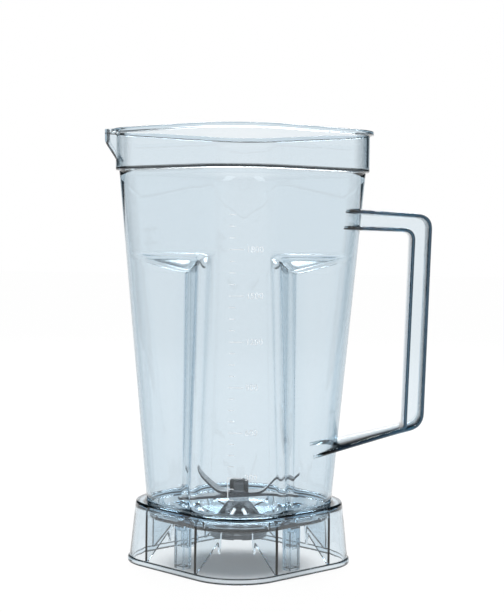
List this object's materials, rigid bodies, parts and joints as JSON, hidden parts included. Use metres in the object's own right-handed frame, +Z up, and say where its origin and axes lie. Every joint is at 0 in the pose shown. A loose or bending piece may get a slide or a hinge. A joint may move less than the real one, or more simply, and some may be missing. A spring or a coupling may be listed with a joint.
{
  "type": "blender jar",
  "caption": "Clear fluted blender jar with a pouring spout, open loop handle, flared skirt base and a blade spindle that turns in a bearing housing on the floor.",
  "frame": {"origin": "on the jar axis, in the plane the base stands on", "axes": "+Z up along the jar axis, +X to the handle, -X to the spout"},
  "size_m": [0.2038, 0.163, 0.27],
  "materials": {
    "clear_plastic": "clear, faint blue-grey tint",
    "stainless_steel": "turned stainless steel",
    "blade_steel": "ground stainless steel",
    "dark_steel": "darkened steel",
    "bearing_steel": "ground bearing steel",
    "spring_steel": "spring steel",
    "black_rubber": "matt black rubber"
  },
  "bodies": {
    "jar": {"jar_body": "clear_plastic", "bearing_housing": "stainless_steel", "housing_gasket": "black_rubber", "clamp_washer": "stainless_steel", "retaining_nut": "stainless_steel", "lower_bearing_outer": "bearing_steel", "upper_bearing_outer": "bearing_steel", "outer_spacer": "stainless_steel", "retaining_ring": "spring_steel", "shaft_seal": "black_rubber"},
    "spindle": {"drive_shaft": "stainless_steel", "shaft_sleeve": "stainless_steel", "lower_blade": "blade_steel", "upper_blade": "blade_steel", "lock_washer": "spring_steel", "blade_nut": "dark_steel", "lower_bearing_inner": "bearing_steel", "upper_bearing_inner": "bearing_steel", "inner_spacer": "stainless_steel"},
    "ball_sets": {"lower_ball_set": "bearing_steel", "upper_ball_set": "bearing_steel"}
  },
  "joints": [
    {"name": "blade_spin", "type": "hinge", "parent": "jar", "child": "spindle", "pos_m": [0, 0, 0.0414], "axis": [0, 0, 1], "continuous": true},
    {"name": "ball_roll", "type": "hinge", "parent": "jar", "child": "ball_sets", "pos_m": [0, 0, 0.0269], "axis": [0, 0, 1], "continuous": true}
  ],
  "couplings": [
    {"joint": "ball_roll", "follows": "blade_spin", "ratio": 0.4}
  ]
}
